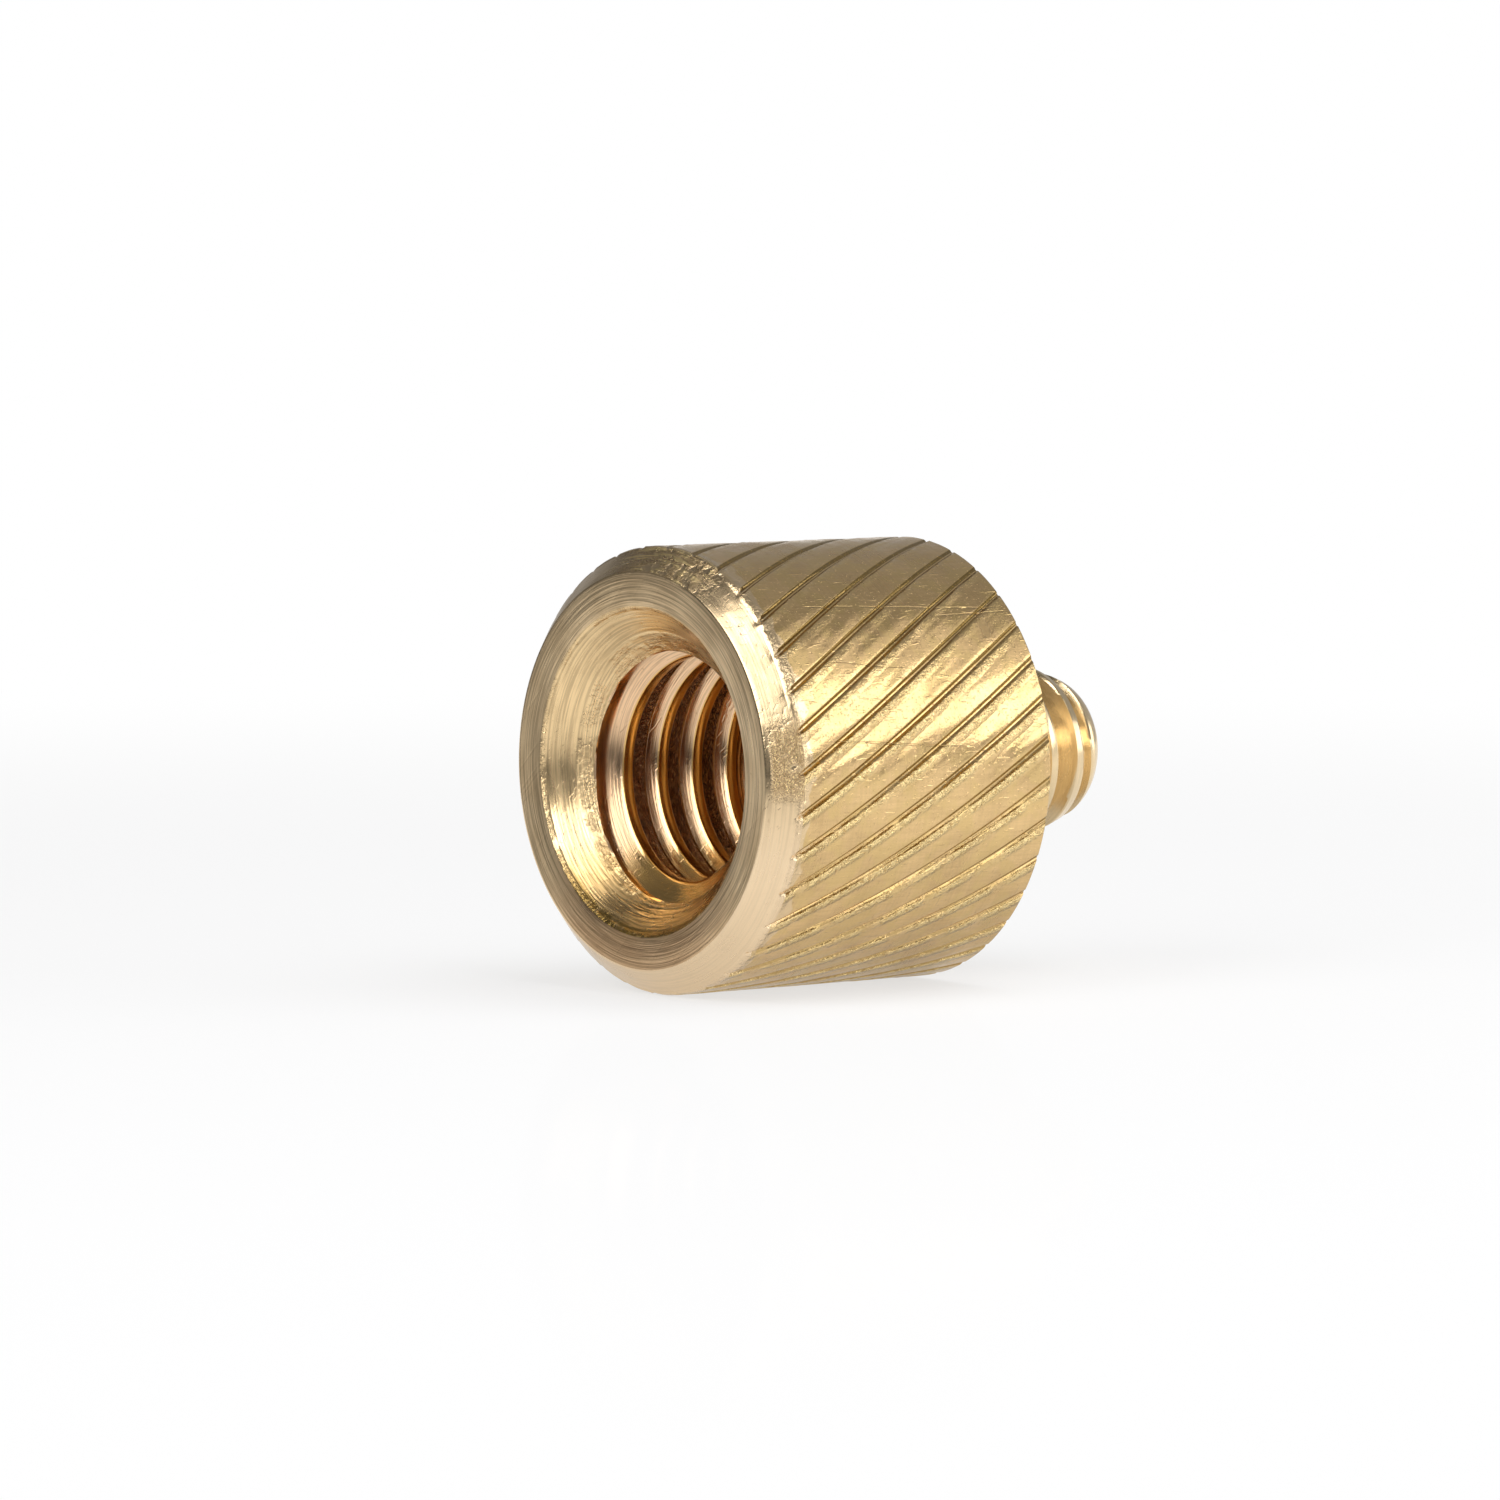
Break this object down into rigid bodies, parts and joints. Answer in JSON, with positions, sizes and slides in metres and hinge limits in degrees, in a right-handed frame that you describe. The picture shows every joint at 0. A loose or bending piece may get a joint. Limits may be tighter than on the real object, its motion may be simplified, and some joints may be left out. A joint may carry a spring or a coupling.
{
  "type": "tripod thread adapter",
  "caption": "Turned brass thread adapter: a knurled barrel with a countersunk threaded hole in one end and a short threaded stud on the other.",
  "frame": {"origin": "centre of the mouth face, which the adapter stands on", "axes": "+Z along the adapter's axis, from the mouth of the threaded hole to the tip of the stud; X and Y are square to it, and the knurl's first groove points 4.2 degrees round from +X at the mouth face"},
  "size_m": [0.016, 0.016, 0.0199],
  "materials": {
    "brass": "bright turned brass with fine tool marks and light scratches"
  },
  "bodies": {
    "root": {"adapter": "brass"}
  },
  "joints": []
}
